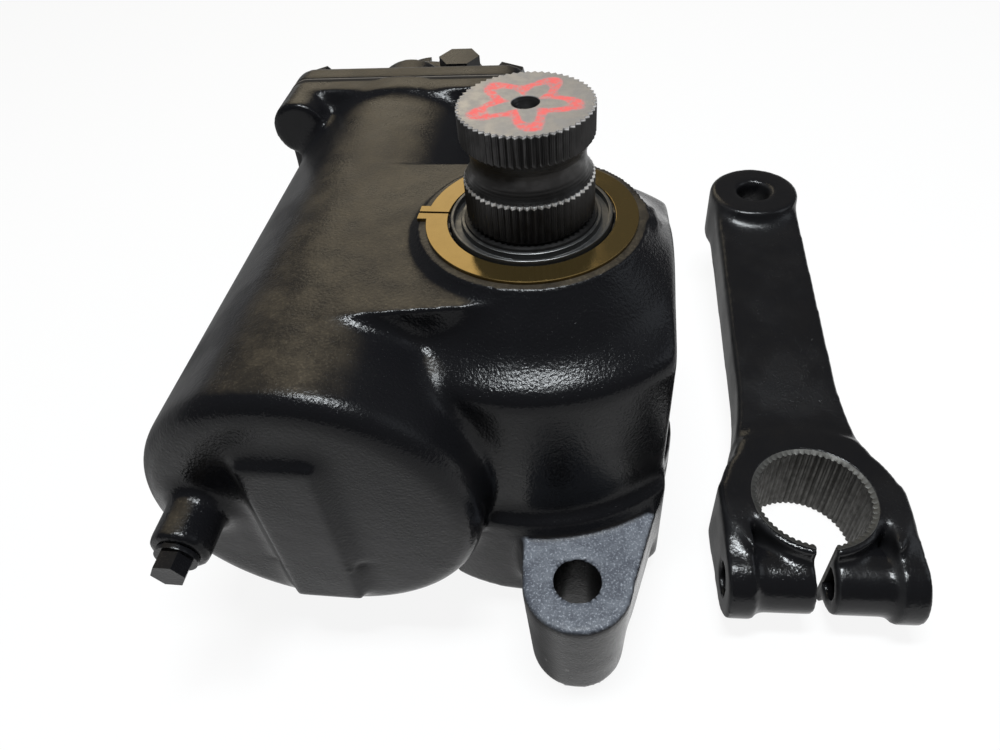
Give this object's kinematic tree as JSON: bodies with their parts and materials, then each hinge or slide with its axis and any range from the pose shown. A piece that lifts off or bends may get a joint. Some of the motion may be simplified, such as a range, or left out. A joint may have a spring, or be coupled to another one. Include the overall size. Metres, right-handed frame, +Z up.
{
  "type": "steering gearbox",
  "caption": "Black cast recirculating-ball power steering gear with rack cylinder, serrated output shaft, valve housing and mounting ears, with its split-clamp pitman arm beside it.",
  "frame": {"origin": "where the output shaft's axis meets the mounting plane under the ears", "axes": "+Z up the output shaft, +Y along the rack cylinder towards the input shaft, +X away from the cylinder"},
  "size_m": [0.3236, 0.4006, 0.2083],
  "materials": {
    "black_paint": "gloss black paint over rough cast iron",
    "arm_paint": "gloss black paint over forged steel",
    "shaft_steel": "dark oiled steel with bright serration tips",
    "bare_steel": "ground steel",
    "dark_steel": "black phosphated steel",
    "yellow_plate": "smooth yellow plated metal",
    "bronze": "bearing bronze",
    "rubber": "satin black seal rubber",
    "ring_plastic": "filled seal-ring plastic",
    "gasket": "compressed fibre sheet"
  },
  "bodies": {
    "housing": {"gear_housing": "black_paint", "trunnion_bearing": "bare_steel", "trunnion_rollers": "bare_steel", "output_seal": "rubber", "dust_ring": "yellow_plate", "side_cover": "black_paint", "side_cover_gasket": "gasket", "side_cover_bolts": "dark_steel", "side_cover_bush": "bronze", "sector_adjuster": "dark_steel", "adjuster_locknut": "dark_steel", "port_plug": "dark_steel", "valve_housing": "black_paint", "valve_gasket": "gasket", "valve_bolts": "dark_steel", "relief_valve_cap": "dark_steel", "worm_bearing": "bare_steel", "bearing_adjuster": "dark_steel", "adjuster_lock_ring": "dark_steel", "input_bearing": "bare_steel", "input_seal": "rubber", "input_dust_boot": "rubber"},
    "sector": {"sector_shaft": "shaft_steel", "adjuster_retainer": "dark_steel"},
    "piston": {"rack_piston": "bare_steel", "piston_ring": "ring_plastic", "recirculating_balls": "bare_steel", "ball_return_guides": "bare_steel", "guide_clip": "bare_steel"},
    "worm": {"worm_shaft": "bare_steel", "valve_sleeve": "bare_steel", "sleeve_rings": "ring_plastic", "torsion_bar": "dark_steel", "torsion_bar_pin": "dark_steel"},
    "input": {"input_shaft": "bare_steel"},
    "arm": {"pitman_arm": "arm_paint"}
  },
  "joints": [
    {"name": "sector_turn", "type": "hinge", "parent": "housing", "child": "sector", "pos_m": [0, 0, 0.1], "axis": [0, 0, 1], "range_deg": [-48, 48]},
    {"name": "rack_slide", "type": "slide", "parent": "housing", "child": "piston", "axis": [0, 1, 0], "range_m": [-0.03561, 0.03561]},
    {"name": "worm_turn", "type": "hinge", "parent": "housing", "child": "worm", "pos_m": [-0.082, 0.15, 0.08701], "axis": [0, 1, 0], "range_deg": [-916, 916]},
    {"name": "valve_twist", "type": "hinge", "parent": "worm", "child": "input", "pos_m": [-0.082, 0.15, 0.08701], "axis": [0, 1, 0], "range_deg": [-5, 5], "stiffness_Nm_per_rad": 40},
    {"name": "arm_lift", "type": "slide", "parent": "housing", "child": "arm", "axis": [0, 0, 1], "range_m": [0, 0.12]}
  ],
  "couplings": [
    {"joint": "rack_slide", "follows": "sector_turn", "m_per_rad": -0.0425},
    {"joint": "worm_turn", "follows": "sector_turn", "ratio": 19.074}
  ]
}
